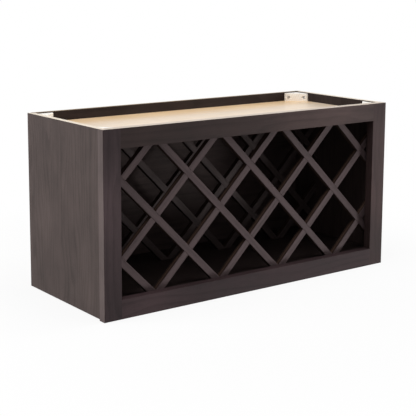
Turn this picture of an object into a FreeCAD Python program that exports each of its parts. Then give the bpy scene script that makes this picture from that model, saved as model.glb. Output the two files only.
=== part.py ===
import FreeCAD, Part
import math
import os

# Wall wine rack: a framed wall cabinet whose open front shows two lattices that hold bottles.
# Millimetres. +X to the right, +Y to the wall, +Z up, origin under the middle of the box.

# Overall size
WIDTH = 762.0
HEIGHT = 381.0
DEPTH = 304.8

# Face frame of two stiles and two rails, joined by stub tenons
FRAME_THICK = 19.05
STILE_WIDTH = 39.7
RAIL_WIDTH = 39.7
FRAME_EASE = 1.2
TENON_THICK = 6.35
TENON_LENGTH = 12.7
TENON_SHOULDER = 6.35
TENON_CLEARANCE = 0.1

# Plywood box behind the frame
SIDE_THICK = 12.7
SIDE_LIFT = 3.2
SIDE_TONGUE_THICK = 6.35
SIDE_TONGUE_LENGTH = 6.35
TOP_THICK = 12.7
TOP_RECESS = 21.1
BOTTOM_THICK = 12.7
BOTTOM_RECESS = 21.1
SHELF_DADO = 5.0
SHELF_TONGUE = 6.35
BACK_THICK = 9.5
BACK_RABBET = 6.35
PANEL_CLEARANCE = 0.1

# Two lattices of half-lapped diagonal strips
LATTICE_PITCH = 115.5
LATTICE_SET_BACK = 4.5
LATTICE_STEP = 194.0
STRIP_WIDTH = 15.0
STRIP_DEPTH = 12.7
STRIP_EASE = 0.8
STRIP_MIN_LENGTH = 40.0
STRIP_SLOPE = 45.0
LAP_CLEARANCE = 0.1
LATTICE_CLEARANCE = 0.2

# Corner blocks in the top recess, each held by two screws
BLOCK_LEG = 41.3
BLOCK_TIP = 4.0
BLOCK_HEIGHT = 19.05
BLOCK_EASE = 0.6
SCREW_INSET = 5.8
SCREW_SEAT = 7.0
SCREW_BITE = 7.0
SCREW_POINT = 3.0
POINT_DIAMETER = 0.8
SHANK_DIAMETER = 3.5
SHANK_CLEARANCE = 0.05
HEAD_DIAMETER = 6.4
HEAD_HEIGHT = 2.2
HEAD_CHAMFER = 1.0
HEAD_CLEARANCE = 0.3

# Planes and levels that several pieces share
FRONT = -DEPTH / 2
FRAME_BACK = FRONT + FRAME_THICK
REAR = DEPTH / 2
BACK_FRONT = REAR - BACK_THICK
INNER_HALF_WIDTH = WIDTH / 2 - SIDE_THICK
RAIL_HALF_LENGTH = WIDTH / 2 - STILE_WIDTH
TOP_LEVELS = (HEIGHT - TOP_RECESS - TOP_THICK, HEIGHT - TOP_RECESS)
BOTTOM_LEVELS = (BOTTOM_RECESS, BOTTOM_RECESS + BOTTOM_THICK)
TOP_RAIL_LEVELS = (HEIGHT - RAIL_WIDTH, HEIGHT)
BOTTOM_RAIL_LEVELS = (0.0, RAIL_WIDTH)
SCREW_LEVEL = TOP_LEVELS[1] + BLOCK_HEIGHT / 2

SIDES = {"left": -1, "right": 1}
SAME_PLACE = 0.001
PAST_FACE = 1.0


def solid_box(x_limits, y_limits, z_limits):
    """A rectangular solid between three pairs of limits, each given in either order."""
    low = FreeCAD.Vector(min(x_limits), min(y_limits), min(z_limits))
    high = FreeCAD.Vector(max(x_limits), max(y_limits), max(z_limits))
    size = high - low
    return Part.makeBox(size.x, size.y, size.z, low)


def inset_x(side, inset):
    """The X of the plane that lies this far in from the outer face of one side."""
    return side * (WIDTH / 2 - inset)


def opened(limits, clearance):
    """A pair of limits opened by a clearance at both ends."""
    return (min(limits) - clearance, max(limits) + clearance)


def eased_front(plank, is_eased):
    """A plank with the chosen edges of its front face rounded over."""
    edges = [
        edge
        for edge in plank.Edges
        if abs(edge.CenterOfMass.y - FRONT) < SAME_PLACE and is_eased(edge.CenterOfMass)
    ]
    return plank.makeFillet(FRAME_EASE, edges)


def tenon_section(rail_levels):
    """The Y and Z limits of the tenon of a rail that lies between two levels."""
    middle = FRONT + FRAME_THICK / 2
    y_limits = (middle - TENON_THICK / 2, middle + TENON_THICK / 2)
    z_limits = (rail_levels[0] + TENON_SHOULDER, rail_levels[1] - TENON_SHOULDER)
    return y_limits, z_limits


def mortise(side, rail_levels):
    """The pocket in a stile that takes one rail's tenon."""
    y_limits, z_limits = tenon_section(rail_levels)
    x_limits = (
        inset_x(side, STILE_WIDTH - TENON_LENGTH - TENON_CLEARANCE),
        inset_x(side, STILE_WIDTH + PAST_FACE),
    )
    return solid_box(x_limits, opened(y_limits, TENON_CLEARANCE), opened(z_limits, TENON_CLEARANCE))


def side_tongue_limits(side):
    """The X limits of the tongue on the front edge of a side panel."""
    return (inset_x(side, SIDE_THICK - SIDE_TONGUE_THICK), inset_x(side, SIDE_THICK))


def stile(side):
    """One upright of the face frame, with its mortises and the groove for the side panel."""
    inner_edge = inset_x(side, STILE_WIDTH)
    plank = solid_box((inset_x(side, 0), inner_edge), (FRONT, FRAME_BACK), (0, HEIGHT))
    plank = eased_front(plank, lambda centre: abs(centre.x - inner_edge) > SAME_PLACE)
    groove = solid_box(
        opened(side_tongue_limits(side), PANEL_CLEARANCE),
        (FRAME_BACK - SIDE_TONGUE_LENGTH - PANEL_CLEARANCE, FRAME_BACK + PAST_FACE),
        (SIDE_LIFT - PANEL_CLEARANCE, HEIGHT + PAST_FACE),
    )
    return plank.cut([groove, mortise(side, TOP_RAIL_LEVELS), mortise(side, BOTTOM_RAIL_LEVELS)])


def rail(rail_levels, outer_level, shelf_levels):
    """One rail of the face frame, with its tenons and the groove for the panel behind it."""
    plank = solid_box((-RAIL_HALF_LENGTH, RAIL_HALF_LENGTH), (FRONT, FRAME_BACK), rail_levels)
    plank = eased_front(plank, lambda centre: abs(centre.z - outer_level) < SAME_PLACE)
    tenon_reach = RAIL_HALF_LENGTH + TENON_LENGTH
    tenons = solid_box((-tenon_reach, tenon_reach), *tenon_section(rail_levels))
    groove = solid_box(
        (-RAIL_HALF_LENGTH, RAIL_HALF_LENGTH),
        (FRAME_BACK - SHELF_TONGUE - PANEL_CLEARANCE, FRAME_BACK + PAST_FACE),
        opened(shelf_levels, PANEL_CLEARANCE),
    )
    return plank.fuse(tenons).removeSplitter().cut(groove)


def shelf_panel(levels):
    """The top or bottom panel: housed in the sides, with a tongue in the rail before it."""
    housed = INNER_HALF_WIDTH + SHELF_DADO
    sheet = solid_box((-housed, housed), (FRAME_BACK, BACK_FRONT), levels)
    tongue = solid_box(
        opened((-RAIL_HALF_LENGTH, RAIL_HALF_LENGTH), -PANEL_CLEARANCE),
        (FRAME_BACK - SHELF_TONGUE, FRAME_BACK),
        levels,
    )
    return sheet.fuse(tongue).removeSplitter()


def side_panel(side):
    """One side of the box, with dadoes for both panels and a rabbet for the back."""
    levels = (SIDE_LIFT, HEIGHT)
    sheet = solid_box((inset_x(side, 0), inset_x(side, SIDE_THICK)), (FRAME_BACK, REAR), levels)
    tongue = solid_box(
        side_tongue_limits(side), (FRAME_BACK - SIDE_TONGUE_LENGTH, FRAME_BACK), levels
    )
    housing = (
        inset_x(side, SIDE_THICK - SHELF_DADO - PANEL_CLEARANCE),
        inset_x(side, SIDE_THICK + PAST_FACE),
    )
    dadoes = [
        solid_box(housing, (FRAME_BACK, REAR), opened(shelf, PANEL_CLEARANCE))
        for shelf in (TOP_LEVELS, BOTTOM_LEVELS)
    ]
    rabbet = solid_box(
        (
            inset_x(side, SIDE_THICK - BACK_RABBET - PANEL_CLEARANCE),
            inset_x(side, SIDE_THICK + PAST_FACE),
        ),
        (BACK_FRONT, REAR + PAST_FACE),
        opened(levels, PAST_FACE),
    )
    return sheet.fuse(tongue).removeSplitter().cut(dadoes + [rabbet])


def back_panel():
    """The back sheet, let into the rabbets of both sides."""
    reach = INNER_HALF_WIDTH + BACK_RABBET
    return solid_box((-reach, reach), (BACK_FRONT, REAR), (SIDE_LIFT, HEIGHT))


def strip_offsets():
    """How far each strip's centre line lies from the lattice's middle, across the strips."""
    half_height = (TOP_LEVELS[0] - BOTTOM_LEVELS[1]) / 2
    slope = math.radians(STRIP_SLOPE)
    corner_reach = INNER_HALF_WIDTH * math.sin(slope) + half_height * math.cos(slope)
    each_way = int((corner_reach - STRIP_MIN_LENGTH / 2) / LATTICE_PITCH + 0.5)
    return [(step + 0.5) * LATTICE_PITCH for step in range(-each_way, each_way)]


def diagonal_bar(slope, offset, width, y_limits, ease=0.0):
    """A long straight bar through the lattice, at a slope in degrees and set off sideways."""
    reach = WIDTH + HEIGHT
    bar = solid_box((-reach, reach), y_limits, (offset - width / 2, offset + width / 2))
    if ease:
        bar = bar.makeChamfer(ease, [edge for edge in bar.Edges if edge.Length > reach])
    bar.rotate(FreeCAD.Vector(0, 0, 0), FreeCAD.Vector(0, 1, 0), -slope)
    bar.translate(FreeCAD.Vector(0, 0, (TOP_LEVELS[0] + BOTTOM_LEVELS[1]) / 2))
    return bar


def lattice(name, front):
    """The strips of one lattice, half-lapped where they cross and trimmed to the box."""
    middle = front + STRIP_DEPTH / 2
    rear = front + STRIP_DEPTH
    space = solid_box(
        opened((-INNER_HALF_WIDTH, INNER_HALF_WIDTH), -LATTICE_CLEARANCE),
        (front, rear),
        opened((BOTTOM_LEVELS[1], TOP_LEVELS[0]), -LATTICE_CLEARANCE),
    )
    lap_width = STRIP_WIDTH + 2 * LAP_CLEARANCE
    laps = {
        "rising": (STRIP_SLOPE, (front - PAST_FACE, middle)),
        "falling": (-STRIP_SLOPE, (middle, rear + PAST_FACE)),
    }
    strips = {}
    for run, (slope, lap_depth) in laps.items():
        notches = [diagonal_bar(-slope, offset, lap_width, lap_depth) for offset in strip_offsets()]
        for number, offset in enumerate(strip_offsets(), start=1):
            bar = diagonal_bar(slope, offset, STRIP_WIDTH, (front, rear), STRIP_EASE)
            strips[f"{name}_{run}_strip_{number}"] = bar.common(space).cut(notches)
    return strips


def corner_screws(side, wall, away):
    """Where the two screws of a corner block enter the walls, each with the way it is driven."""
    along = BLOCK_LEG - SCREW_INSET
    inner = side * INNER_HALF_WIDTH
    into_side = FreeCAD.Vector(inner, wall + away * along, SCREW_LEVEL)
    into_wall = FreeCAD.Vector(inner - side * along, wall, SCREW_LEVEL)
    return [(into_side, FreeCAD.Vector(side, 0, 0)), (into_wall, FreeCAD.Vector(0, -away, 0))]


def screw(entry, drive):
    """A pan-head screw whose head sits in its corner block and whose point is in the wall."""
    seat = entry - drive * SCREW_SEAT
    straight = SCREW_SEAT + SCREW_BITE - SCREW_POINT
    head = Part.makeCylinder(HEAD_DIAMETER / 2, HEAD_HEIGHT, seat, -drive)
    top = seat - drive * HEAD_HEIGHT
    rim = [edge for edge in head.Edges if edge.CenterOfMass.distanceToPoint(top) < SAME_PLACE]
    shank = Part.makeCylinder(SHANK_DIAMETER / 2, straight, seat, drive)
    point = Part.makeCone(
        SHANK_DIAMETER / 2, POINT_DIAMETER / 2, SCREW_POINT, seat + drive * straight, drive
    )
    return head.makeChamfer(HEAD_CHAMFER, rim).fuse([shank, point])


def pilot_hole(entry, drive):
    """The hole that a screw's shank runs through, from its head to past its point."""
    radius = SHANK_DIAMETER / 2 + SHANK_CLEARANCE
    length = SCREW_SEAT + SCREW_BITE + SHANK_CLEARANCE
    return Part.makeCylinder(radius, length, entry - drive * SCREW_SEAT, drive)


def head_pocket(entry, drive):
    """The round pocket that lets a screw's head down to its seat in a corner block."""
    seat = entry - drive * SCREW_SEAT
    return Part.makeCylinder(HEAD_DIAMETER / 2 + HEAD_CLEARANCE, BLOCK_LEG, seat, -drive)


def corner_block(side, wall, away):
    """A three-cornered block between one side and the wall that it meets, with blunt tips."""
    inner = side * INNER_HALF_WIDTH
    legs = [(0, 0), (BLOCK_LEG, 0), (BLOCK_LEG, BLOCK_TIP), (BLOCK_TIP, BLOCK_LEG), (0, BLOCK_LEG)]
    corners = [
        FreeCAD.Vector(inner - side * across, wall + away * along, TOP_LEVELS[1])
        for across, along in legs
    ]
    plan = Part.Face(Part.makePolygon(corners + corners[:1]))
    block = plan.extrude(FreeCAD.Vector(0, 0, BLOCK_HEIGHT))
    top = TOP_LEVELS[1] + BLOCK_HEIGHT
    rim = [edge for edge in block.Edges if abs(edge.CenterOfMass.z - top) < SAME_PLACE]
    block = block.makeChamfer(BLOCK_EASE, rim)
    screws = corner_screws(side, wall, away)
    return block.cut([hole(*place) for place in screws for hole in (pilot_hole, head_pocket)])


def build():
    """Every piece of the rack by name."""
    corners = {
        f"{end}_{hand}": (side, wall, away)
        for end, wall, away in (("front", FRAME_BACK, 1), ("rear", BACK_FRONT, -1))
        for hand, side in SIDES.items()
    }
    screw_places = [place for corner in corners.values() for place in corner_screws(*corner)]
    drilled = {
        "back_panel": back_panel(),
        "top_rail": rail(TOP_RAIL_LEVELS, HEIGHT, TOP_LEVELS),
    }
    pieces = {
        "top_panel": shelf_panel(TOP_LEVELS),
        "bottom_panel": shelf_panel(BOTTOM_LEVELS),
        "bottom_rail": rail(BOTTOM_RAIL_LEVELS, 0.0, BOTTOM_LEVELS),
    }
    for hand, side in SIDES.items():
        drilled[f"{hand}_side_panel"] = side_panel(side)
        drilled[f"{hand}_stile"] = stile(side)
    pilot_holes = [pilot_hole(*place) for place in screw_places]
    pieces.update({name: piece.cut(pilot_holes) for name, piece in drilled.items()})
    pieces.update({f"{name}_corner_block": corner_block(*c) for name, c in corners.items()})
    pieces.update(lattice("front", FRAME_BACK + LATTICE_SET_BACK))
    pieces.update(lattice("rear", FRAME_BACK + LATTICE_SET_BACK + LATTICE_STEP))
    pieces["corner_block_screws"] = Part.makeCompound([screw(*place) for place in screw_places])
    return pieces


os.makedirs("parts", exist_ok=True)
for node, shape in build().items():
    shape.exportStep(f"parts/{node}.step")
    print(node, len(shape.Solids), round(shape.Volume), shape.isValid())
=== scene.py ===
import math
import random
from typing import NamedTuple

import bmesh
import bpy
from bpy.props import FloatProperty, FloatVectorProperty, PointerProperty
from mathutils import Euler, Matrix, Vector


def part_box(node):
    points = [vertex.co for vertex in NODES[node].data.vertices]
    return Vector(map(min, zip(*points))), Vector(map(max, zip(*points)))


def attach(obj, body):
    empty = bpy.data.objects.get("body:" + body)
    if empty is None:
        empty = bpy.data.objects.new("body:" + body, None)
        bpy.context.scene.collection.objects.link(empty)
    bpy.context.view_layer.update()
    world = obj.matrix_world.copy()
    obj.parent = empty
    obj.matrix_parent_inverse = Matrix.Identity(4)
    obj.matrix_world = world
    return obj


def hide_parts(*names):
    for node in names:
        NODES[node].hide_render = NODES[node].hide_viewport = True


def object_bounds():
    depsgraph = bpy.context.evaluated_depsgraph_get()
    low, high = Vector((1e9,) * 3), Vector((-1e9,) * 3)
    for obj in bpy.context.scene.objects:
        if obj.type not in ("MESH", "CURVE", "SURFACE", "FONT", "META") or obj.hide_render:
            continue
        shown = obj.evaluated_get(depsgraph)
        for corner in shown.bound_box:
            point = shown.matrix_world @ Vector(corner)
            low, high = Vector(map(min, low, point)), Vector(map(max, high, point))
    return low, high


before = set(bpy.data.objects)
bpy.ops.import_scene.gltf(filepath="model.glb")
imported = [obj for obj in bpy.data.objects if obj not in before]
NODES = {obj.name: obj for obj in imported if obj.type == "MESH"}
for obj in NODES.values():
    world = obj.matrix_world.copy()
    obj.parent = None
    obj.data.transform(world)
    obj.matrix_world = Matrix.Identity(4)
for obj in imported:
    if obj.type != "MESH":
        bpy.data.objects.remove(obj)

bl_info = {
    "name": "Wall wine rack",
    "version": (1, 0, 0),
    "blender": (4, 5, 0),
    "location": "3D View > Sidebar > Wine rack",
    "description": "Finishes, fasteners and studio stage of a framed wall wine rack",
    "category": "Object",
}

CAD_LOW, CAD_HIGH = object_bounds()
BODY = "root"

# The axes of a vector, and the mean of cloudy noise
X, Y, Z = 0, 1, 2
MEAN = 0.5


def thickness(name, axis):
    """How far a CAD node reaches along an axis."""
    low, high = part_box(name)
    return high[axis] - low[axis]


# Sizes that the finishes take from the frame
TOP_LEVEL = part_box("top_panel")[1].z
SIDE_THICK = thickness("left_side_panel", X)
BACK_THICK = thickness("back_panel", Y)

# Nodes that share a finish
SIDES = ("left_side_panel", "right_side_panel")
BLOCKS = ("front_left_corner_block", "front_right_corner_block",
          "rear_left_corner_block", "rear_right_corner_block")

# Turn that lays the X axis of a pattern along the grain
GRAIN_ACROSS = (0.0, 0.0, 0.0)
GRAIN_UPRIGHT = (0.0, -math.pi / 2, 0.0)
GRAIN_RISING = (0.0, -math.pi / 4, 0.0)
GRAIN_FALLING = (0.0, math.pi / 4, 0.0)


class Board(NamedTuple):
    """How a board of the face frame is cut and stained, and where a patch of painted sheen lightens
    it.
    """

    turn: tuple  # lays a pattern along the grain
    axis: int  # runs along the board
    hue: tuple  # shares of the stain's red, green and blue
    deep: float  # how light the stain is made on most of the board
    pale: float  # how light the painted sheen makes the middle of the board's palest patch
    middle: float  # where along the board that patch of painted sheen lies, in metres
    reach: float  # how far from its middle the patch ends, in metres


BOARDS = {
    "left_stile": Board(GRAIN_UPRIGHT, Z, (1.0, 1.03, 1.11), 0.78, 1.29, 0.235, 0.17),
    "right_stile": Board(GRAIN_UPRIGHT, Z, (1.0, 0.95, 0.93), 0.79, 1.17, 0.220, 0.20),
    "top_rail": Board(GRAIN_ACROSS, X, (1.0, 0.99, 0.94), 0.60, 1.32, 0.260, 0.37),
    "bottom_rail": Board(GRAIN_ACROSS, X, (1.0, 0.96, 1.03), 0.67, 1.06, -0.290, 0.17),
}

# Runs of lattice strips: the way the grain runs, how light the stain dried on the planed faces, and
# how light the sawn sides are, darker on the falling strips as painted shade
RUNS = {
    "rising": (GRAIN_RISING, 1.13, 0.75),
    "falling": (GRAIN_FALLING, 1.03, 0.50),
}

# Growth rings of each wood: the width of a ring in metres, and how many rings its figure sways
FRAME_RINGS = (0.0065, 5.0)
STRIP_RINGS = (0.0052, 3.0)
SIDE_RINGS = (0.011, 9.0)
TOP_RINGS = (0.016, 9.0)
INNER_RINGS = (0.013, 8.0)
BLOCK_RINGS = (0.0040, 2.0)


class Weights(NamedTuple):
    """How strongly each part of the grain shows in the tone of a wood."""

    late: float
    fibre: float
    streak: float
    pores: float
    blotch: float


STAIN_WEIGHTS = Weights(late=0.20, fibre=0.50, streak=0.45, pores=0.24, blotch=0.80)
FRAME_WEIGHTS = Weights(late=0.20, fibre=0.42, streak=0.34, pores=0.24, blotch=1.20)
SIDE_WEIGHTS = Weights(late=0.20, fibre=0.36, streak=0.26, pores=0.24, blotch=1.20)
EDGE_WEIGHTS = Weights(late=0.20, fibre=0.60, streak=0.30, pores=0.20, blotch=0.40)
TOP_WEIGHTS = Weights(late=0.34, fibre=0.55, streak=0.55, pores=0.30, blotch=0.60)
BACK_WEIGHTS = Weights(late=0.40, fibre=0.60, streak=0.60, pores=0.30, blotch=0.75)
BLOCK_WEIGHTS = Weights(late=0.30, fibre=0.60, streak=0.35, pores=0.25, blotch=0.45)

# Pairs of tints, as shares of a colour's red, green and blue, that a tone runs between
STAIN_TINTS = ((0.58, 0.58, 0.58), (1.44, 1.44, 1.44))
EDGE_TINTS = ((0.90, 0.90, 0.90), (1.08, 1.08, 1.08))
PLY_TINTS = ((1.04, 1.04, 1.04), (0.84, 0.84, 0.84))
GOLDEN_TINTS = ((0.98, 0.93, 0.82), (1.14, 1.22, 1.33))
# The next two tints paint sheen on the top panel's veneer
SHEEN_WHITE_TINTS = ((0.91, 1.03, 1.24), (1.02, 1.20, 1.60))
SHEEN_CREAM_TINTS = ((0.86, 0.95, 1.10), (0.98, 1.11, 1.44))
REAR_TINTS = ((0.92, 0.90, 0.88), (1.12, 1.22, 1.40))
BLOCK_TINTS = ((0.90, 0.85, 0.78), (1.08, 1.10, 1.14))
ZINC_TINTS = ((1.15, 1.15, 1.15), (0.55, 0.53, 0.50))

# Single tints: the stiles' outer faces, lighter as painted sheen, the frame's bare upper edge,
# rubbed arrises, sawn sides of the strips, glue lines and the edges of the back
STILE_SHEEN_TINT = (1.92, 2.24, 2.18)
BARE_EDGE_TINT = (0.66, 0.64, 0.64)
RUBBED_TINT = (2.1, 1.8, 1.6)
SAWN_TINT = (0.70, 0.62, 0.48)
GLUE_TINT = (0.62, 0.50, 0.38)
BACK_EDGE_TINT = (0.34, 0.28, 0.22)

# Worn arrises: the samples and the turn of the surface that find them, then how wide they are in
# metres and how much of the paler tone they show
BEVEL_SAMPLES = 6
ARRIS_TURN = (0.02, 0.25)
STAIN_ARRIS, STAIN_WEAR = 0.0011, 0.30
BLOCK_ARRIS, BLOCK_WEAR, BLOCK_WORN_TONE = 0.0009, 0.4, 1.12
ZINC_ARRIS, ZINC_WEAR, ZINC_WORN_TONE = 0.0003, 0.6, 1.5
RUBBED_FIBRE = (0.30, 0.62)

# Plywood edges: the number of plies, how light the cross plies are, and the glue lines
STRIP_PLIES = 3.0
SIDE_PLIES = 9.0
BACK_PLIES = 7.0
CROSS_PLY = 0.93
STRIP_CROSS_PLY = 1.9
PLY_WAVE_SIZE, PLY_WAVE = (0.05, 0.05, 0.05), 0.3
PLY_SPECK_SIZE, PLY_SPECK = (0.0022, 0.0022, 0.0022), 0.7
GLUE_LINE, GLUE_SHARE = (0.40, 0.47), 0.45

# The sides: where along their depth in metres, to the front, they are made lighter, and how much
SIDE_FORE, SIDE_LEAN = (-0.01, 0.09), 0.11

# The bare top panel: how ragged its bands of tone are, and where each begins along Y in metres; the
# pale bands in front of the golden rear are painted sheen
RAGGED_BLOTCH, RAGGED_STREAK = 0.04, 0.08
SHEEN_WHITE_FROM = (-0.060, 0.025)
GOLDEN_FROM = (0.040, 0.115)

# Roughness: how much the grain changes it, and how much duller bare wood is than stained wood
SATIN_FIBRE, SATIN_BLOTCH, SATIN_PORES = 0.10, 0.12, 0.10
FRAME_EDGE_DULLING = 0.12
SIDE_EDGE_DULLING = 0.15
BACK_DULLING = 0.18
BLOCK_ROUGHNESS, BLOCK_FIBRE = 0.62, 0.2

# Depth of the relief in metres
STAIN_RELIEF = 0.00010
VENEER_RELIEF = 0.00008
BARE_RELIEF = 0.00012
ZINC_RELIEF = 0.00003

# Gloss of the unstained woods
GLOSS = "Specular IOR Level"
VENEER_GLOSS = {GLOSS: 0.2, "Coat Weight": 0.12, "Coat Roughness": 0.22}
BLOCK_GLOSS = {GLOSS: 0.3}

# How far below the frame's outermost planes a face still counts as outermost, in metres, and how
# squarely a face that counts as facing along an axis looks that way
STILE_EDGE_SKIN = 0.0004
TOP_EDGE_SKIN = 0.0002
FACING_SHARE = 0.7

# Zinc plating: clouds of dull film and of scuffs in metres, and their share in the roughness
FILM_SIZE, FILM_DULLING = (0.004, 0.004, 0.004), 0.18
SCUFF_SIZE, SCUFF_DULLING = (0.0005, 0.0005, 0.0012), 0.2
ZINC_ROUGHNESS = 0.30
SCREW_GRIME = 0.5
STAPLE_GRIME = 0.9

# Shape of a screw: the thread's root as a share of its width and its point as a share of the root,
# the taper of its first turns, the outline of its head as shares of height and half width, its
# cross recess, and the turns of the first head and from each head to the next
THREAD_ROOT, THREAD_POINT = 0.72, 0.35
FIRST_TURN_TAPER, NEXT_TURN_TAPER = 0.55, 0.22
HEAD_UNDERSIDE = 0.97
HEAD_OUTLINE = ((0.14, 1.0), (0.38, 0.985), (0.66, 0.90), (0.87, 0.74), (0.97, 0.52), (1.0, 0.0))
SCREW_SIDES = 28
CROWN_FROM = 0.5
RECESS_HUB, HUB_NARROWING, ARM_NARROWING = 1.2, 0.8, 0.45
FIRST_HEAD_TURN, NEXT_HEAD_TURN = math.radians(23), math.radians(41)

# Shape and place of the staples: shares of the wire, then the gap at the end of a row as a share
# of the spacing, the inset from the back panel's edge, and how unevenly a hand drives them, in
# degrees and in metres
STAPLE_FLATNESS = 0.7
STAPLE_EASE = 0.18
STAPLE_MARGIN = 0.6
STAPLE_INSET = 0.0032
STAPLE_SWING = 11
STAPLE_DRIFT = 0.0012
STAPLE_SEED = 30

# Meshes: points closer than these are one, and faces that meet at less than this are smooth
MERGE_DISTANCE = 1e-6
CUT_TOLERANCE = 1e-7
SMOOTH_ANGLE = math.radians(32)

# Softboxes and where each stands, in metres: the key stands below the floor, which stops no light,
# and lights the rack as a pale table top would
SOFTBOXES = {
    "key": (2.25, -2.58, -0.92),
    "side": (-1.75, 0.60, 0.50),
    "right": (1.9, -0.50, 0.55),
    "top": (-0.1, -0.3, 1.55),
}
SOFTBOX_SIZE = 0.9

# The floor: its gap below the rack, where its shadow starts to fade, its colour as seen, as it
# throws light back and in its faint mottling, and the camera's sensor in millimetres
FLOOR_GAP = 0.0003
SHADOW_CORE = 0.45
PAPER_SEEN = (0.92, 0.92, 0.92, 1)
PAPER_LIT = (0.22, 0.22, 0.22, 1)
PAPER_MOTTLE = (0.5, 0.5, 0.5, 1)
MOTTLE_SIZE, MOTTLE_SHARE = (0.3, 0.3, 0.3), 0.04
WHITE = (1, 1, 1, 1)
SENSOR_WIDTH = 36.0


def colour_property(name, description, default):
    """A colour that a user may change, in linear light."""
    return FloatVectorProperty(name=name, description=description, subtype="COLOR", size=3,
                               min=0.0, max=1.0, default=default)


def length_property(name, description, default):
    """A length that a user may change, in metres."""
    return FloatProperty(name=name, description=description, subtype="DISTANCE", unit="LENGTH",
                         min=0.0, default=default)


def share_property(name, description, default):
    """A plain number from 0 to 1."""
    return FloatProperty(name=name, description=description, subtype="FACTOR", min=0.0, max=1.0,
                         default=default)


def angle_property(name, description, degrees):
    """An angle that a user may change, given in degrees."""
    return FloatProperty(name=name, description=description, subtype="ANGLE", unit="ROTATION",
                         default=math.radians(degrees))


def power_property(name, description, default):
    """The power of a lamp, in watts."""
    return FloatProperty(name=name, description=description, unit="POWER", min=0.0,
                         default=default)


class RackFinishes(bpy.types.PropertyGroup):
    """Colours and sheen of the rack's woods and metals."""

    frame_stain: colour_property(
        "Frame stain", "Espresso stain on the solid stiles and rails", (0.058, 0.0382, 0.0378))
    lattice_stain: colour_property(
        "Lattice stain", "Espresso stain on the diagonal strips", (0.080, 0.0560, 0.0570))
    panel_stain: colour_property(
        "Panel stain", "Espresso stain on the veneer of the sides", (0.067, 0.0512, 0.0478))
    # Painted shade: the rear lattice gets a darker copy of the lattice stain, for the shade it lies
    # in
    rear_lattice_shade_stain: colour_property(
        "Rear lattice stain", "Deeper stain on the strips of the rear lattice",
        (0.062, 0.0455, 0.0440))
    inside_stain: colour_property(
        "Inside stain", "Espresso stain inside the box", (0.073, 0.0525, 0.0490))
    # Painted shade: the bottom panel gets a darker copy of the inside stain
    bottom_shade_stain: colour_property(
        "Bottom stain", "Deeper espresso stain on the bottom panel", (0.030, 0.0213, 0.0200))
    # Painted shade: the faces round the top recess get a darker copy of the inside stain
    recess_shade_stain: colour_property(
        "Recess stain", "Espresso stain round the top recess", (0.033, 0.0240, 0.0222))
    raw_veneer: colour_property(
        "Raw veneer", "Clear unstained face veneer of the top panel", (0.85, 0.60, 0.36))
    raw_edge: colour_property(
        "Raw edge", "Sawn plywood edges that are left unstained", (0.88, 0.79, 0.68))
    # Painted light: the blocks' pale wood is brightened further, to near white, standing in for
    # light from the front
    block_wood: colour_property(
        "Block wood", "Unfinished hardwood of the corner blocks", (0.97, 0.94, 0.88))
    steel: colour_property("Steel", "Zinc plating of screws and staples", (0.52, 0.52, 0.53))
    stain_roughness: share_property("Stain roughness", "Roughness of the satin topcoat", 0.50)
    stain_gloss: share_property("Stain gloss", "Specular level of the satin topcoat", 0.07)
    panel_roughness: share_property("Panel roughness", "Roughness of the stained veneer", 0.52)
    panel_gloss: share_property("Panel gloss", "Specular level of the stained veneer", 0.05)
    raw_roughness: share_property("Raw wood roughness", "Roughness of unstained wood", 0.32)


class RackFasteners(bpy.types.PropertyGroup):
    """Sizes of the screws and staples."""

    screw_inset: length_property("Screw inset", "From a block's tip to its screw", 0.0058)
    screw_seat: length_property("Screw seat", "From the wall to the underside of a head", 0.007)
    screw_bite: length_property("Screw bite", "How far a screw enters the wall", 0.007)
    head_width: length_property("Head width", "Diameter of a pan head", 0.0064)
    head_height: length_property("Head height", "Height of a pan head", 0.0022)
    shank_width: length_property("Shank width", "Diameter over the thread", 0.0035)
    thread_pitch: length_property("Thread pitch", "Distance between thread crests", 0.0012)
    recess_length: length_property("Recess length", "Length of a slot of the cross recess", 0.0036)
    recess_width: length_property("Recess width", "Width of a slot of the cross recess", 0.0009)
    recess_depth: length_property("Recess depth", "Depth of the cross recess", 0.0012)
    staple_crown: length_property("Staple crown", "Length of a staple's crown", 0.0110)
    staple_wire: length_property("Staple wire", "Width of the staple wire", 0.0013)
    staple_leg: length_property("Staple leg", "Length of a staple's legs", 0.0080)
    staple_proud: length_property("Staple proud", "Crown above the back panel", 0.0001)
    staple_spacing: length_property("Staple spacing", "Distance between staples", 0.105)


class RackStage(bpy.types.PropertyGroup):
    """Camera, lamps and floor."""

    camera_place: FloatVectorProperty(
        name="Camera place", description="Where the camera stands", subtype="TRANSLATION",
        unit="LENGTH", size=3, default=(-1.4397, -1.8987, 0.6797))
    camera_heading: angle_property(
        "Camera heading", "Turn of the view from the wall towards the right", 36.83)
    camera_pitch: angle_property("Camera pitch", "Tilt of the view above the horizon", -9.16)
    camera_roll: angle_property("Camera roll", "Roll of the camera about its view", 0.27)
    focal_length: FloatProperty(
        name="Focal length", description="Focal length in millimetres",
        subtype="DISTANCE_CAMERA", unit="CAMERA", min=1.0, default=93.91)
    shift_up: FloatProperty(
        name="Shift", description="Upward shift of the lens, in frame widths", default=-0.15)
    key_power: power_property("Key power", "Power of the softbox in front, at the right", 44.5)
    side_power: power_property("Side power", "Power of the softbox at the left", 25.0)
    right_power: power_property("Right power", "Power of the softbox at the right", 22.0)
    top_power: power_property("Top power", "Power of the softbox overhead", 13.5)
    ambient: share_property("Ambient", "Strength of the even light all round", 0.23)
    floor_half: length_property("Floor", "Half the width of the floor", 6.0)
    shadow_reach: length_property("Shadow reach", "Where the floor's shadow ends", 0.95)
    shadow_share: share_property("Shadow share", "How much of the shadow the floor shows", 0.10)


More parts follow.
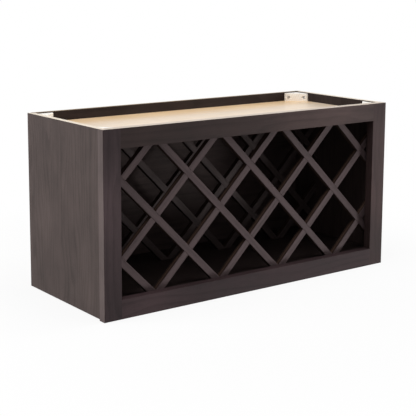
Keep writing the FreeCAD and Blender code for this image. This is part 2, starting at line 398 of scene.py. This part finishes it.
class Value:
    """An output of a node: arithmetic on it adds Math nodes."""

    def __init__(self, finish, socket):
        self.finish = finish
        self.socket = socket

    def math(self, operation, first, second=0.0):
        """Adds one Math node."""
        return self.finish.node("ShaderNodeMath", {"operation": operation}, {0: first, 1: second})

    def __add__(self, other):
        return self.math("ADD", self, other)

    def __sub__(self, other):
        return self.math("SUBTRACT", self, other)

    def __rsub__(self, other):
        return self.math("SUBTRACT", other, self)

    def __mul__(self, other):
        return self.math("MULTIPLY", self, other)

    def __truediv__(self, other):
        return self.math("DIVIDE", self, other)

    def __rtruediv__(self, other):
        return self.math("DIVIDE", other, self)

    def __mod__(self, other):
        return self.math("FLOORED_MODULO", self, other)

    def __rmod__(self, other):
        return self.math("FLOORED_MODULO", other, self)

    def __gt__(self, other):
        return self.math("GREATER_THAN", self, other)

    def __lt__(self, other):
        return self.math("LESS_THAN", self, other)

    def __or__(self, other):
        return self.math("MAXIMUM", self, other)

    def __abs__(self):
        return self.math("ABSOLUTE", self)

    __radd__ = __add__
    __rmul__ = __mul__
    __ror__ = __or__


class Finish:
    """The nodes of a material or of the world, measured in metres on the piece itself."""

    def __init__(self, owner):
        owner.use_nodes = True
        self.owner = owner
        self.tree = owner.node_tree
        self.tree.nodes.clear()

    def node(self, kind, settings=None, inputs=None, output=0):
        """Adds a node, sets it, fills or links its inputs and gives back one output."""
        made = self.tree.nodes.new(kind)
        for name, setting in (settings or {}).items():
            setattr(made, name, setting)
        for name, value in (inputs or {}).items():
            if isinstance(value, Value):
                self.tree.links.new(value.socket, made.inputs[name])
            else:
                made.inputs[name].default_value = value
        return Value(self, made.outputs[output]) if len(made.outputs) else None

    def spot(self):
        """The place on the piece."""
        return self.node("ShaderNodeTexCoord", output="Object")

    def normal(self):
        """The way that the surface looks."""
        return self.node("ShaderNodeTexCoord", output="Normal")

    def part(self, vector, axis):
        """One axis of a vector."""
        return self.node("ShaderNodeSeparateXYZ", inputs={"Vector": vector}, output=axis)

    def facing(self, axis, sign):
        """1 on the faces that look along an axis, 0 elsewhere."""
        return self.part(self.normal(), axis) * sign > FACING_SHARE

    def along(self, turn):
        """The place on the piece, turned so that its X follows the grain."""
        return self.node("ShaderNodeMapping", {"vector_type": "TEXTURE"},
                         {"Vector": self.spot(), "Rotation": turn})

    def noise(self, place, size, detail=2.0, roughness=0.5):
        """Cloudy noise from 0 to 1 whose clouds have this size along each axis."""
        scaled = self.node("ShaderNodeVectorMath", {"operation": "DIVIDE"}, {0: place, 1: size})
        return self.node("ShaderNodeTexNoise", inputs={
            "Vector": scaled, "Scale": 1.0, "Detail": detail, "Roughness": roughness})

    def step(self, value, low, high):
        """0 below low, 1 above high and a smooth rise between."""
        return self.node("ShaderNodeMapRange", {"interpolation_type": "SMOOTHSTEP"},
                         {"Value": value, "From Min": low, "From Max": high})

    def mix(self, share, first, second):
        """A colour between two colours."""
        return self.node("ShaderNodeMix", {"data_type": "RGBA"},
                         {0: share, 6: first, 7: second}, output=2)

    def shade(self, tone, colour, tints):
        """A colour that runs between two tints of itself."""
        first, second = tints
        return self.mix(tone, tinted(colour, first), tinted(colour, second))

    def edges(self, width):
        """1 on the arrises of a piece, falling to 0 this far from them."""
        soft = self.node("ShaderNodeBevel", {"samples": BEVEL_SAMPLES}, {"Radius": width})
        hard = self.node("ShaderNodeNewGeometry", output="True Normal")
        turned = self.node("ShaderNodeVectorMath", {"operation": "DOT_PRODUCT"},
                           {0: soft, 1: hard}, output="Value")
        return self.step(1 - turned, *ARRIS_TURN)

    def surface(self, colour, roughness, relief, depth, constants):
        """Ends the material: what varies is linked, what is even is set on the shader."""
        bump = self.node("ShaderNodeBump", inputs={
            "Strength": 1.0, "Distance": depth, "Height": relief})
        shader = self.node("ShaderNodeBsdfPrincipled", inputs={
            "Base Color": colour, "Roughness": roughness, "Normal": bump, **constants})
        self.node("ShaderNodeOutputMaterial", inputs={"Surface": shader})
        return self.owner


def new_finish(name):
    """An empty finish on a new material."""
    return Finish(bpy.data.materials.new(name))


def tinted(colour, tint):
    """A colour with each part multiplied by its own share, and the alpha that a socket wants."""
    return (*(min(1.0, part * share) for part, share in zip(colour, tint)), 1.0)


def toned(colour, share):
    """A colour made lighter or darker all over."""
    return tinted(colour, (share, share, share))


class Grain:
    """Growth rings, fibres, pores and stain blotches of planed wood."""

    # Size of each part along the grain and across it, in metres
    DRIFT = (0.42, 0.075, 0.075)
    FIBRE = (0.055, 0.0016, 0.0016)
    STREAK = (0.30, 0.010, 0.010)
    PORES = (0.011, 0.0006, 0.0006)
    BLOTCH = (0.11, 0.055, 0.055)

    # Where in a ring the late wood darkens and ends, and the noise at which a pore opens
    LATE_START = (0.35, 0.92)
    LATE_END = (0.94, 1.0)
    PORE_OPEN = (0.60, 0.72)
    RING_TILT = 0.35
    MEAN_LATE = 0.3

    # How far each part stands up or sinks in
    FIBRE_RISE, PORE_DEPTH, LATE_DEPTH = 0.5, 0.9, 0.15

    def __init__(self, finish, turn, rings):
        ring_width, sway = rings
        place = finish.along(turn)
        drift = finish.noise(place, self.DRIFT)
        across = finish.part(place, Y) + finish.part(place, Z) * self.RING_TILT
        ring = (across / ring_width + drift * sway) % 1.0
        self.late = finish.step(ring, *self.LATE_START) - finish.step(ring, *self.LATE_END)
        self.fibre = finish.noise(place, self.FIBRE, detail=3.0, roughness=0.6)
        self.streak = finish.noise(place, self.STREAK)
        self.pores = finish.step(finish.noise(place, self.PORES, detail=1.0), *self.PORE_OPEN)
        self.blotch = finish.noise(place, self.BLOTCH, detail=3.0, roughness=0.55)

    def tone(self, weights):
        """How light the wood is, 0.5 on average, from the weight of each part."""
        return (MEAN + (self.blotch - MEAN) * weights.blotch + (self.streak - MEAN) * weights.streak
                + (self.fibre - MEAN) * weights.fibre - (self.late - self.MEAN_LATE) * weights.late
                - self.pores * weights.pores)

    def satin(self, level):
        """Roughness of a sprayed satin topcoat over open grain."""
        return (level + (self.fibre - MEAN) * SATIN_FIBRE + (self.blotch - MEAN) * SATIN_BLOTCH
                + self.pores * SATIN_PORES)

    def relief(self):
        """How far the surface stands up, as a share of the relief's depth."""
        return (self.fibre * self.FIBRE_RISE - self.pores * self.PORE_DEPTH
                - self.late * self.LATE_DEPTH)


def ply_edge(finish, depth, thick, plies, colour, cross_ply=CROSS_PLY):
    """The sawn edge of plywood: plies of two tones with thin glue lines, by depth in the sheet."""
    wave = finish.noise(finish.spot(), PLY_WAVE_SIZE)
    layer = depth * (plies / thick) + (wave - MEAN) * PLY_WAVE
    is_cross = (layer % 2.0) > 1.0
    glue = finish.step(abs(layer % 1.0 - 0.5), *GLUE_LINE)
    speck = finish.noise(finish.spot(), PLY_SPECK_SIZE) * PLY_SPECK
    straight = finish.shade(speck, colour, PLY_TINTS)
    cross = finish.shade(speck, toned(colour, cross_ply), PLY_TINTS)
    wood = finish.mix(is_cross, straight, cross)
    return finish.mix(glue * GLUE_SHARE, wood, tinted(colour, GLUE_TINT))


def stained(finish, grain, tone, colour):
    """Espresso stain: dark in the rings and pores, thinner on the arrises."""
    wood = finish.shade(tone, colour, STAIN_TINTS)
    rubbed = finish.edges(STAIN_ARRIS) * finish.step(grain.fibre, *RUBBED_FIBRE)
    return finish.mix(rubbed * STAIN_WEAR, wood, tinted(colour, RUBBED_TINT))


def inside_with_recess_shade(finish, grain, looks):
    """Stain of the box's inner faces, with painted shade in the recess above the top panel."""
    tone = grain.tone(STAIN_WEIGHTS)
    above = finish.part(finish.spot(), Z) > TOP_LEVEL
    return finish.mix(above, stained(finish, grain, tone, looks.inside_stain),
                      stained(finish, grain, tone, looks.recess_shade_stain))


def frame_wood(name, looks):
    """Stained solid wood of one board of the face frame, with a patch of painted sheen, painted
    sheen on the stiles' outer faces and a bare upper edge.
    """
    board = BOARDS[name]
    finish = new_finish(f"espresso_{name}_wood")
    grain = Grain(finish, board.turn, FRAME_RINGS)
    tone = grain.tone(FRAME_WEIGHTS)
    stain = tinted(looks.frame_stain, board.hue)
    # Painted sheen: the stain is made paler round a patch on each board, standing in for a lamp's
    # reflection in the satin topcoat
    deep = stained(finish, grain, tone, toned(stain, board.deep))
    light = stained(finish, grain, tone, toned(stain, board.pale))
    along = finish.part(finish.spot(), board.axis)
    painted_sheen_patch = 1 - finish.step(abs(along - board.middle), 0.0, board.reach)
    front = finish.mix(painted_sheen_patch, deep, light)
    # Painted sheen: the stiles' outer faces get a much lighter stain, standing in for the side
    # lamp's reflection
    stile_edge_sheen = stained(finish, grain, tone, tinted(looks.frame_stain, STILE_SHEEN_TINT))
    is_stile_edge = abs(finish.part(finish.spot(), X)) > CAD_HIGH.x - STILE_EDGE_SKIN
    dark = finish.mix(is_stile_edge, front, stile_edge_sheen)
    bare = finish.shade(grain.tone(EDGE_WEIGHTS), tinted(looks.raw_edge, BARE_EDGE_TINT),
                        EDGE_TINTS)
    is_bare = finish.part(finish.spot(), Z) > CAD_HIGH.z - TOP_EDGE_SKIN
    rough = grain.satin(looks.stain_roughness) + is_bare * FRAME_EDGE_DULLING
    return finish.surface(finish.mix(is_bare, dark, bare), rough, grain.relief(), STAIN_RELIEF,
                          {GLOSS: looks.stain_gloss})


def strip_wood(strip, name, run, colour, looks):
    """Stained lattice strips: planed faces, and sawn sides that show their plies, darker on the
    falling strips as painted shade.
    """
    turn, face_share, sawn_tone_and_shade = RUNS[run]
    finish = new_finish(name)
    grain = Grain(finish, turn, STRIP_RINGS)
    face = stained(finish, grain, grain.tone(STAIN_WEIGHTS), toned(colour, face_share))
    depth = finish.part(finish.spot(), Y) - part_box(strip)[0].y
    # Painted shade: the sawn sides of the falling strips are made darker than those of the rising
    # strips
    sawn = toned(tinted(colour, SAWN_TINT), sawn_tone_and_shade)
    side = ply_edge(finish, depth, thickness(strip, Y), STRIP_PLIES, sawn, STRIP_CROSS_PLY)
    is_planed = finish.facing(Y, -1) | finish.facing(Y, 1)
    return finish.surface(
        finish.mix(is_planed, side, face), grain.satin(looks.stain_roughness), grain.relief(),
        STAIN_RELIEF, {GLOSS: looks.stain_gloss})


def side_wood(looks):
    """Stained veneer of the sides, with bare plywood along the top, bottom and rear edges."""
    finish = new_finish("espresso_side_veneer")
    grain = Grain(finish, GRAIN_UPRIGHT, SIDE_RINGS)
    fore = finish.step(finish.part(finish.spot(), Y) * -1, *SIDE_FORE)
    outer = stained(finish, grain, grain.tone(SIDE_WEIGHTS) + fore * SIDE_LEAN, looks.panel_stain)
    inner = inside_with_recess_shade(finish, grain, looks)
    across = finish.part(finish.spot(), X)
    inward = finish.part(finish.normal(), X) * across * -1
    dark = finish.mix(inward > CAD_HIGH.x / 2, outer, inner)
    depth = CAD_HIGH.x - abs(across)
    pale = ply_edge(finish, depth, SIDE_THICK, SIDE_PLIES, looks.raw_edge)
    is_bare = finish.facing(Z, 1) | finish.facing(Z, -1) | finish.facing(Y, 1)
    rough = grain.satin(looks.panel_roughness) + is_bare * SIDE_EDGE_DULLING
    return finish.surface(finish.mix(is_bare, dark, pale), rough, grain.relief(), STAIN_RELIEF,
                          {GLOSS: looks.panel_gloss})


def top_wood(looks):
    """The top panel: bare pale veneer above, in three bands of tone whose paler front ones are
    painted sheen, and stained below.
    """
    finish = new_finish("pale_top_veneer")
    grain = Grain(finish, GRAIN_ACROSS, TOP_RINGS)
    tone = grain.tone(TOP_WEIGHTS)
    golden = finish.shade(tone, looks.raw_veneer, GOLDEN_TINTS)
    sheen_white = finish.shade(tone, looks.raw_veneer, SHEEN_WHITE_TINTS)
    sheen_cream = finish.shade(tone, looks.raw_veneer, SHEEN_CREAM_TINTS)
    # Painted sheen: the veneer is made whiter in bands towards the front, standing in for the
    # lamps' sheen on its clear coat
    ragged = (finish.part(finish.spot(), Y) + (grain.blotch - MEAN) * RAGGED_BLOTCH
              + (grain.streak - MEAN) * RAGGED_STREAK)
    fore = finish.mix(finish.step(ragged, *SHEEN_WHITE_FROM), sheen_cream, sheen_white)
    pale = finish.mix(finish.step(ragged, *GOLDEN_FROM), fore, golden)
    dark = stained(finish, grain, grain.tone(STAIN_WEIGHTS), looks.inside_stain)
    return finish.surface(
        finish.mix(finish.facing(Z, 1), dark, pale), grain.satin(looks.raw_roughness),
        grain.relief(), VENEER_RELIEF, VENEER_GLOSS)


def bottom_wood(looks):
    """Stained bottom panel, darker than the rest of the inside as painted shade."""
    finish = new_finish("espresso_bottom_veneer")
    grain = Grain(finish, GRAIN_ACROSS, INNER_RINGS)
    dark = stained(finish, grain, grain.tone(STAIN_WEIGHTS), looks.bottom_shade_stain)
    return finish.surface(dark, grain.satin(looks.panel_roughness), grain.relief(), STAIN_RELIEF,
                          {GLOSS: looks.panel_gloss})


def back_wood(looks):
    """Back panel: stained inside, with a rear face and edges of bare plywood."""
    finish = new_finish("espresso_back_veneer")
    grain = Grain(finish, GRAIN_ACROSS, INNER_RINGS)
    dark = inside_with_recess_shade(finish, grain, looks)
    rear = finish.shade(grain.tone(BACK_WEIGHTS), looks.raw_veneer, REAR_TINTS)
    depth = CAD_HIGH.y - finish.part(finish.spot(), Y)
    edge = ply_edge(finish, depth, BACK_THICK, BACK_PLIES, tinted(looks.raw_edge, BACK_EDGE_TINT))
    bare = finish.mix(finish.facing(Y, 1), edge, rear)
    is_front = finish.facing(Y, -1)
    rough = grain.satin(looks.panel_roughness) + (1 - is_front) * BACK_DULLING
    return finish.surface(finish.mix(is_front, bare, dark), rough, grain.relief(), BARE_RELIEF,
                          {GLOSS: looks.panel_gloss})


def block_wood(looks):
    """Unfinished pale hardwood of the corner blocks, brightened further as painted light, with worn
    pale arrises.
    """
    finish = new_finish("bare_block_hardwood")
    grain = Grain(finish, GRAIN_ACROSS, BLOCK_RINGS)
    wood = finish.shade(grain.tone(BLOCK_WEIGHTS), looks.block_wood, BLOCK_TINTS)
    colour = finish.mix(finish.edges(BLOCK_ARRIS) * BLOCK_WEAR, wood,
                        toned(looks.block_wood, BLOCK_WORN_TONE))
    rough = BLOCK_ROUGHNESS + (grain.fibre - MEAN) * BLOCK_FIBRE
    return finish.surface(colour, rough, grain.relief(), BARE_RELIEF, BLOCK_GLOSS)


def zinc(name, looks, grime):
    """Zinc plated steel with fine scuffs and a dull film."""
    finish = new_finish(name)
    film = finish.noise(finish.spot(), FILM_SIZE, detail=3.0)
    scuff = finish.noise(finish.spot(), SCUFF_SIZE)
    colour = finish.shade(film * grime, looks.steel, ZINC_TINTS)
    worn = finish.mix(finish.edges(ZINC_ARRIS) * ZINC_WEAR, colour,
                      toned(looks.steel, ZINC_WORN_TONE))
    rough = ZINC_ROUGHNESS + film * FILM_DULLING + (scuff - MEAN) * SCUFF_DULLING
    return finish.surface(worn, rough, scuff, ZINC_RELIEF, {"Metallic": 1.0})


def dress(names, material):
    """Gives CAD nodes a finish in place of the plain one they came with."""
    for name in names:
        node = NODES[name]
        if not node.material_slots:
            raise RuntimeError(f"{name} has no material slot")
        for slot in node.material_slots:
            slot.material = material


def piece_from(shape, name, material):
    """A finished piece of the rack from a bmesh that is already in its place."""
    bmesh.ops.recalc_face_normals(shape, faces=shape.faces[:])
    mesh = bpy.data.meshes.new(name)
    shape.to_mesh(mesh)
    shape.free()
    mesh.polygons.foreach_set("use_smooth", [True] * len(mesh.polygons))
    mesh.set_sharp_from_angle(angle=SMOOTH_ANGLE)
    mesh.materials.append(material)
    piece = bpy.data.objects.new(name, mesh)
    bpy.context.scene.collection.objects.link(piece)
    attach(piece, BODY)
    return piece


def screw_outline(sizes):
    """Half the outline of a screw, from its point to its crown, as reach and level."""
    head, shank, pitch = sizes.head_width / 2, sizes.shank_width / 2, sizes.thread_pitch
    length = sizes.screw_seat + sizes.screw_bite
    root = shank * THREAD_ROOT
    outline = [(0.0, -length), (root * THREAD_POINT, -length + pitch)]
    for thread in range(int((length - 3 * pitch) / pitch)):
        level = -length + (thread + 1.5) * pitch
        taper = min(1.0, FIRST_TURN_TAPER + NEXT_TURN_TAPER * thread)
        outline += [(root * taper, level), (shank * taper, level + pitch / 2)]
    outline += [(root, -pitch), (root, 0.0), (head * HEAD_UNDERSIDE, 0.0)]
    outline += [(head * reach, sizes.head_height * rise) for rise, reach in HEAD_OUTLINE]
    return outline


def screw_shape(sizes, turn):
    """One pan-head screw, head up at the origin, with a cross recess and a threaded shank."""
    shape = bmesh.new()
    points = [shape.verts.new((reach, 0.0, level)) for reach, level in screw_outline(sizes)]
    rims = [shape.edges.new(pair) for pair in zip(points, points[1:])]
    bmesh.ops.spin(shape, geom=points + rims, cent=(0, 0, 0), axis=(0, 0, 1),
                   angle=math.tau, steps=SCREW_SIDES, use_merge=True)
    bmesh.ops.remove_doubles(shape, verts=shape.verts[:], dist=MERGE_DISTANCE)
    cut_recess(shape, sizes)
    bmesh.ops.rotate(shape, verts=shape.verts[:], cent=(0, 0, 0),
                     matrix=Matrix.Rotation(turn, 3, "Z"))
    return shape


def cut_recess(shape, sizes):
    """Sinks a tapering cross into the crown of a head."""
    long, short = sizes.recess_length / 2, sizes.recess_width / 2
    crown_level = sizes.head_height * CROWN_FROM
    for axis in (Vector((1, 0, 0)), Vector((0, 1, 0))):
        for reach in (-long, -short, short, long):
            crown = [face for face in shape.faces if face.calc_center_median().z > crown_level]
            around = dict.fromkeys(
                part for face in crown for part in (face, *face.edges, *face.verts))
            bmesh.ops.bisect_plane(shape, geom=list(around), plane_co=axis * reach, plane_no=axis,
                                   dist=CUT_TOLERANCE)
    cross = []
    for face in shape.faces:
        centre = face.calc_center_median()
        beside, ahead = sorted((abs(centre.x), abs(centre.y)))
        if centre.z > crown_level and beside < short and ahead < long:
            cross.append(face)
    if not cross:
        raise RuntimeError("the head has no faces for its recess")
    sunk = bmesh.ops.extrude_face_region(shape, geom=cross)["geom"]
    floor = [part for part in sunk if isinstance(part, bmesh.types.BMVert)]
    bmesh.ops.delete(shape, geom=cross, context="FACES_ONLY")
    for point in floor:
        is_arm = max(abs(point.co.x), abs(point.co.y)) > short * RECESS_HUB
        narrowing = ARM_NARROWING if is_arm else HUB_NARROWING
        point.co.x *= narrowing
        point.co.y *= narrowing
        point.co.z = sizes.head_height - sizes.recess_depth


def screw_places(sizes):
    """Where the screws enter the walls beside the corner blocks, and the way each is driven."""
    places = []
    for name in BLOCKS:
        low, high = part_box(name)
        centre = (low + high) / 2
        side = math.copysign(1.0, centre.x)
        wall = math.copysign(1.0, centre.y)
        inner = max(abs(low.x), abs(high.x)) * side
        far = low.y if wall < 0 else high.y
        along = high.x - low.x - sizes.screw_inset
        into_side = Vector((inner, far - wall * along, centre.z))
        into_wall = Vector((inner - side * along, far, centre.z))
        places += [(into_side, Vector((side, 0, 0))), (into_wall, Vector((0, wall, 0)))]
    return places


def staple_shape(sizes):
    """One crown staple, crown up at the origin and along X, with both legs down."""
    wire, half = sizes.staple_wire, sizes.staple_crown / 2
    thick = wire * STAPLE_FLATNESS
    shape = bmesh.new()
    bmesh.ops.create_cube(shape, size=1.0)
    bmesh.ops.scale(shape, verts=shape.verts[:], vec=(half * 2, wire, thick))
    bmesh.ops.translate(shape, verts=shape.verts[:], vec=(0, 0, -thick / 2))
    for reach in (-half + wire, half - wire):
        everything = shape.verts[:] + shape.edges[:] + shape.faces[:]
        bmesh.ops.bisect_plane(shape, geom=everything, plane_co=(reach, 0, 0), plane_no=(1, 0, 0),
                               dist=CUT_TOLERANCE)
    feet = [face for face in shape.faces
            if face.normal.z < -FACING_SHARE and abs(face.calc_center_median().x) > half - wire]
    legs = bmesh.ops.extrude_discrete_faces(shape, faces=feet)["faces"]
    tips = {point for face in legs for point in face.verts}
    bmesh.ops.translate(shape, verts=list(tips), vec=(0, 0, -sizes.staple_leg))
    bmesh.ops.bevel(shape, geom=shape.edges[:], offset=wire * STAPLE_EASE, affect="EDGES",
                    segments=2, profile=0.5, material=-1, clamp_overlap=True)
    return shape


def spread(low, high, spacing):
    """Places at even distances between two limits, with a margin at both ends."""
    middle = (low + high) / 2
    reach = (high - low) / 2 - spacing * STAPLE_MARGIN
    count = max(1, int(2 * reach / spacing))
    return [middle - reach + 2 * reach * step / count for step in range(count + 1)]


def staple_places(sizes):
    """Where the staples sit on the back panel, across and up, and the turn of each."""
    low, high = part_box("back_panel")
    places = []
    for name in ("top_panel", "bottom_panel"):
        panel_low, panel_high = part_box(name)
        level = (panel_low.z + panel_high.z) / 2
        places += [(across, level, 0.0) for across in spread(low.x, high.x, sizes.staple_spacing)]
    for side in (-1, 1):
        across = side * (high.x - STAPLE_INSET)
        levels = spread(low.z, high.z, sizes.staple_spacing)
        places += [(across, level, math.pi / 2) for level in levels]
    return places


def placed(into, shape, turn, place):
    """Turns a small shape, moves it to its place and adds it to a bmesh of many."""
    bmesh.ops.transform(shape, matrix=Matrix.Translation(place) @ turn.to_4x4(),
                        verts=shape.verts[:])
    part = bpy.data.meshes.new("part")
    shape.to_mesh(part)
    shape.free()
    into.from_mesh(part)
    bpy.data.meshes.remove(part)


class RACK_OT_face_frame(bpy.types.Operator):
    """Finishes the stiles and rails of the face frame"""

    bl_idname = "rack.face_frame"
    bl_label = "Face frame"

    def execute(self, context):
        looks = context.scene.rack_finishes
        for board in BOARDS:
            dress([board], frame_wood(board, looks))
        return {"FINISHED"}


class RACK_OT_side_panels(bpy.types.Operator):
    """Finishes the two sides of the box"""

    bl_idname = "rack.side_panels"
    bl_label = "Side panels"

    def execute(self, context):
        dress(SIDES, side_wood(context.scene.rack_finishes))
        return {"FINISHED"}


class RACK_OT_top_panel(bpy.types.Operator):
    """Finishes the top panel, bare above and stained below"""

    bl_idname = "rack.top_panel"
    bl_label = "Top panel"

    def execute(self, context):
        dress(["top_panel"], top_wood(context.scene.rack_finishes))
        return {"FINISHED"}


class RACK_OT_bottom_panel(bpy.types.Operator):
    """Finishes the bottom panel"""

    bl_idname = "rack.bottom_panel"
    bl_label = "Bottom panel"

    def execute(self, context):
        dress(["bottom_panel"], bottom_wood(context.scene.rack_finishes))
        return {"FINISHED"}


class RACK_OT_back_panel(bpy.types.Operator):
    """Finishes the back panel, stained inside and bare behind"""

    bl_idname = "rack.back_panel"
    bl_label = "Back panel"

    def execute(self, context):
        dress(["back_panel"], back_wood(context.scene.rack_finishes))
        return {"FINISHED"}


class RACK_OT_lattices(bpy.types.Operator):
    """Finishes the strips of the front and rear lattices"""

    bl_idname = "rack.lattices"
    bl_label = "Lattices"

    def execute(self, context):
        looks = context.scene.rack_finishes
        # The rear strips take the darker stain, which is painted shade
        for place, colour in (("front", looks.lattice_stain), ("rear", looks.rear_lattice_shade_stain)):
            for run in RUNS:
                group = f"{place}_{run}_strip"
                strips = [name for name in NODES if name.startswith(group)]
                dress(strips, strip_wood(strips[0], f"espresso_{group}", run, colour, looks))
        return {"FINISHED"}


class RACK_OT_corner_blocks(bpy.types.Operator):
    """Finishes the corner blocks in the top recess"""

    bl_idname = "rack.corner_blocks"
    bl_label = "Corner blocks"

    def execute(self, context):
        dress(BLOCKS, block_wood(context.scene.rack_finishes))
        return {"FINISHED"}


class RACK_OT_screws(bpy.types.Operator):
    """Makes the two pan-head screws of each corner block"""

    bl_idname = "rack.screws"
    bl_label = "Corner block screws"

    def execute(self, context):
        sizes = context.scene.rack_fasteners
        screws = bmesh.new()
        for count, (entry, drive) in enumerate(screw_places(sizes)):
            turn = (-drive).to_track_quat("Z", "Y").to_matrix()
            shape = screw_shape(sizes, FIRST_HEAD_TURN + NEXT_HEAD_TURN * count)
            placed(screws, shape, turn, entry - drive * sizes.screw_seat)
        material = zinc("zinc_screw", context.scene.rack_finishes, SCREW_GRIME)
        piece = piece_from(screws, "pan_head_screws", material)
        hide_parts("corner_block_screws")
        return {"FINISHED"}


class RACK_OT_staples(bpy.types.Operator):
    """Makes the staples that hold the back panel"""

    bl_idname = "rack.staples"
    bl_label = "Back panel staples"

    def execute(self, context):
        sizes = context.scene.rack_fasteners
        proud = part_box("back_panel")[1].y + sizes.staple_proud
        hand = random.Random(STAPLE_SEED)
        staples = bmesh.new()
        for across, level, lean in staple_places(sizes):
            swing = math.radians(hand.uniform(-STAPLE_SWING, STAPLE_SWING))
            turn = Euler((-math.pi / 2, lean + swing, 0), "XYZ")
            spot = Vector((across, proud, level))
            spot.z += hand.uniform(-STAPLE_DRIFT, STAPLE_DRIFT)
            placed(staples, staple_shape(sizes), turn.to_matrix(), spot)
        material = zinc("galvanised_staple", context.scene.rack_finishes, STAPLE_GRIME)
        piece_from(staples, "back_staples", material)
        return {"FINISHED"}


class RACK_OT_stage(bpy.types.Operator):
    """Makes the floor, the even light, the softboxes and the camera"""

    bl_idname = "rack.stage"
    bl_label = "Stage"

    def execute(self, context):
        stage = context.scene.rack_stage
        self.floor(context, stage)
        self.surroundings(context, stage)
        for name, place in SOFTBOXES.items():
            self.softbox(context, name, place, getattr(stage, f"{name}_power"))
        self.camera(context, stage)
        context.scene.view_settings.view_transform = "Standard"
        return {"FINISHED"}

    def seen(self, finish):
        """1 for the rays that show a thing in the picture or in a reflection, 0 for light."""
        kinds = [finish.node("ShaderNodeLightPath", output=name)
                 for name in ("Is Camera Ray", "Is Glossy Ray", "Is Transmission Ray")]
        return kinds[0] | kinds[1] | kinds[2]

    def floor(self, context, stage):
        """Lays a white floor that shows a faint shadow near the rack."""
        shape = bmesh.new()
        bmesh.ops.create_grid(shape, x_segments=1, y_segments=1, size=stage.floor_half)
        bmesh.ops.translate(shape, verts=shape.verts[:], vec=(0, 0, CAD_LOW.z - FLOOR_GAP))
        mesh = bpy.data.meshes.new("floor")
        shape.to_mesh(mesh)
        shape.free()
        mesh.materials.append(self.paper(stage))
        floor = bpy.data.objects.new("floor", mesh)
        context.scene.collection.objects.link(floor)
        floor.visible_shadow = False

    def paper(self, stage):
        """The floor's material: white where it is seen, apart from the shadow that it shows."""
        finish = new_finish("white_floor")
        seen = self.seen(finish)
        reach = finish.node("ShaderNodeVectorMath", {"operation": "LENGTH"}, {0: finish.spot()},
                            output="Value")
        shown = stage.shadow_share * (1 - finish.step(reach, SHADOW_CORE, stage.shadow_reach))
        mottle = finish.noise(finish.spot(), MOTTLE_SIZE, detail=3.0)
        paper = finish.mix(seen, PAPER_LIT, PAPER_SEEN)
        soft = finish.mix(mottle * MOTTLE_SHARE, paper, PAPER_MOTTLE)
        matte = finish.node("ShaderNodeBsdfDiffuse", inputs={"Color": soft})
        glow = finish.node("ShaderNodeEmission", inputs={"Color": WHITE, "Strength": 1.0})
        both = finish.node("ShaderNodeMixShader", inputs={
            0: seen * (1 - shown), 1: matte, 2: glow})
        finish.node("ShaderNodeOutputMaterial", inputs={"Surface": both})
        return finish.owner

    def surroundings(self, context, stage):
        """Sets a world that looks white and lights the rack evenly and weakly."""
        world = bpy.data.worlds.new("white_surroundings")
        context.scene.world = world
        finish = Finish(world)
        strength = stage.ambient + self.seen(finish) * (1 - stage.ambient)
        light = finish.node("ShaderNodeBackground", inputs={"Color": WHITE, "Strength": strength})
        finish.node("ShaderNodeOutputWorld", inputs={"Surface": light})

    def softbox(self, context, name, place, power):
        """Adds a square lamp that looks at the middle of the rack."""
        light = bpy.data.lights.new(f"{name}_softbox", "AREA")
        light.shape = "SQUARE"
        light.size = SOFTBOX_SIZE
        light.energy = power
        lamp = bpy.data.objects.new(f"{name}_softbox", light)
        lamp.location = place
        aim = (CAD_LOW + CAD_HIGH) / 2 - Vector(place)
        lamp.rotation_euler = aim.to_track_quat("-Z", "Y").to_euler()
        lamp.visible_camera = False
        lamp.visible_glossy = name != "top"
        context.scene.collection.objects.link(lamp)

    def camera(self, context, stage):
        """Sets the camera that the picture is taken with."""
        lens = bpy.data.cameras.new("camera")
        lens.lens = stage.focal_length
        lens.sensor_width = SENSOR_WIDTH
        lens.shift_y = stage.shift_up
        camera = bpy.data.objects.new("camera", lens)
        camera.location = stage.camera_place
        turn = (Matrix.Rotation(-stage.camera_heading, 3, "Z")
                @ Matrix.Rotation(math.pi / 2 + stage.camera_pitch, 3, "X")
                @ Matrix.Rotation(stage.camera_roll, 3, "Z"))
        camera.rotation_euler = turn.to_euler()
        context.scene.collection.objects.link(camera)
        context.scene.camera = camera


STEPS = (RACK_OT_face_frame, RACK_OT_side_panels, RACK_OT_top_panel, RACK_OT_bottom_panel,
         RACK_OT_back_panel, RACK_OT_lattices, RACK_OT_corner_blocks, RACK_OT_screws,
         RACK_OT_staples, RACK_OT_stage)


class RACK_PT_panel(bpy.types.Panel):
    """Lists the steps and the values that a user may change"""

    bl_idname = "RACK_PT_panel"
    bl_label = "Wall wine rack"
    bl_space_type = "VIEW_3D"
    bl_region_type = "UI"
    bl_category = "Wine rack"

    def draw(self, context):
        for step in STEPS:
            self.layout.operator(step.bl_idname)
        for group in GROUPS:
            values = getattr(context.scene, group)
            box = self.layout.box()
            for name in values.bl_rna.properties.keys():
                if name not in ("rna_type", "name"):
                    box.prop(values, name)


GROUPS = {"rack_finishes": RackFinishes, "rack_fasteners": RackFasteners, "rack_stage": RackStage}
CLASSES = (*GROUPS.values(), *STEPS, RACK_PT_panel)


def register():
    """Adds the classes, and the values of each group to the scene."""
    for made in CLASSES:
        bpy.utils.register_class(made)
    for name, group in GROUPS.items():
        setattr(bpy.types.Scene, name, PointerProperty(type=group))


def unregister():
    """Takes away what register added."""
    for name in GROUPS:
        delattr(bpy.types.Scene, name)
    for made in reversed(CLASSES):
        bpy.utils.unregister_class(made)


def main():
    """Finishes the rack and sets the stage."""
    register()
    bpy.ops.rack.face_frame()
    bpy.ops.rack.side_panels()
    bpy.ops.rack.top_panel()
    bpy.ops.rack.bottom_panel()
    bpy.ops.rack.back_panel()
    bpy.ops.rack.lattices()
    bpy.ops.rack.corner_blocks()
    bpy.ops.rack.screws()
    bpy.ops.rack.staples()
    bpy.ops.rack.stage()


if __name__ == "__main__":
    main()
